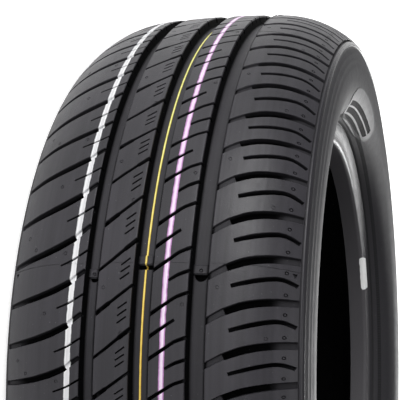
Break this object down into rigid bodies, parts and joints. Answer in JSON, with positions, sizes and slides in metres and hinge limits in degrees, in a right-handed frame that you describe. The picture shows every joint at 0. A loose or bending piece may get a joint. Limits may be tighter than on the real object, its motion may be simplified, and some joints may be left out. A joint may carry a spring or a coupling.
{
  "type": "car tyre",
  "caption": "Tubeless summer car tyre with an asymmetric tread of three main grooves, arched shoulder grooves and sipes, with no rim fitted.",
  "frame": {"origin": "centre of the tyre, on its spin axis and midway between its two sidewalls", "axes": "+Z along the spin axis, out of the sidewall that faces up as the tyre lies, the one beside the widest cross grooves; the tread runs round X and Y"},
  "size_m": [0.6318, 0.6318, 0.219],
  "materials": {
    "rubber": "satin black moulded rubber"
  },
  "bodies": {
    "root": {"tyre": "rubber"}
  },
  "joints": []
}
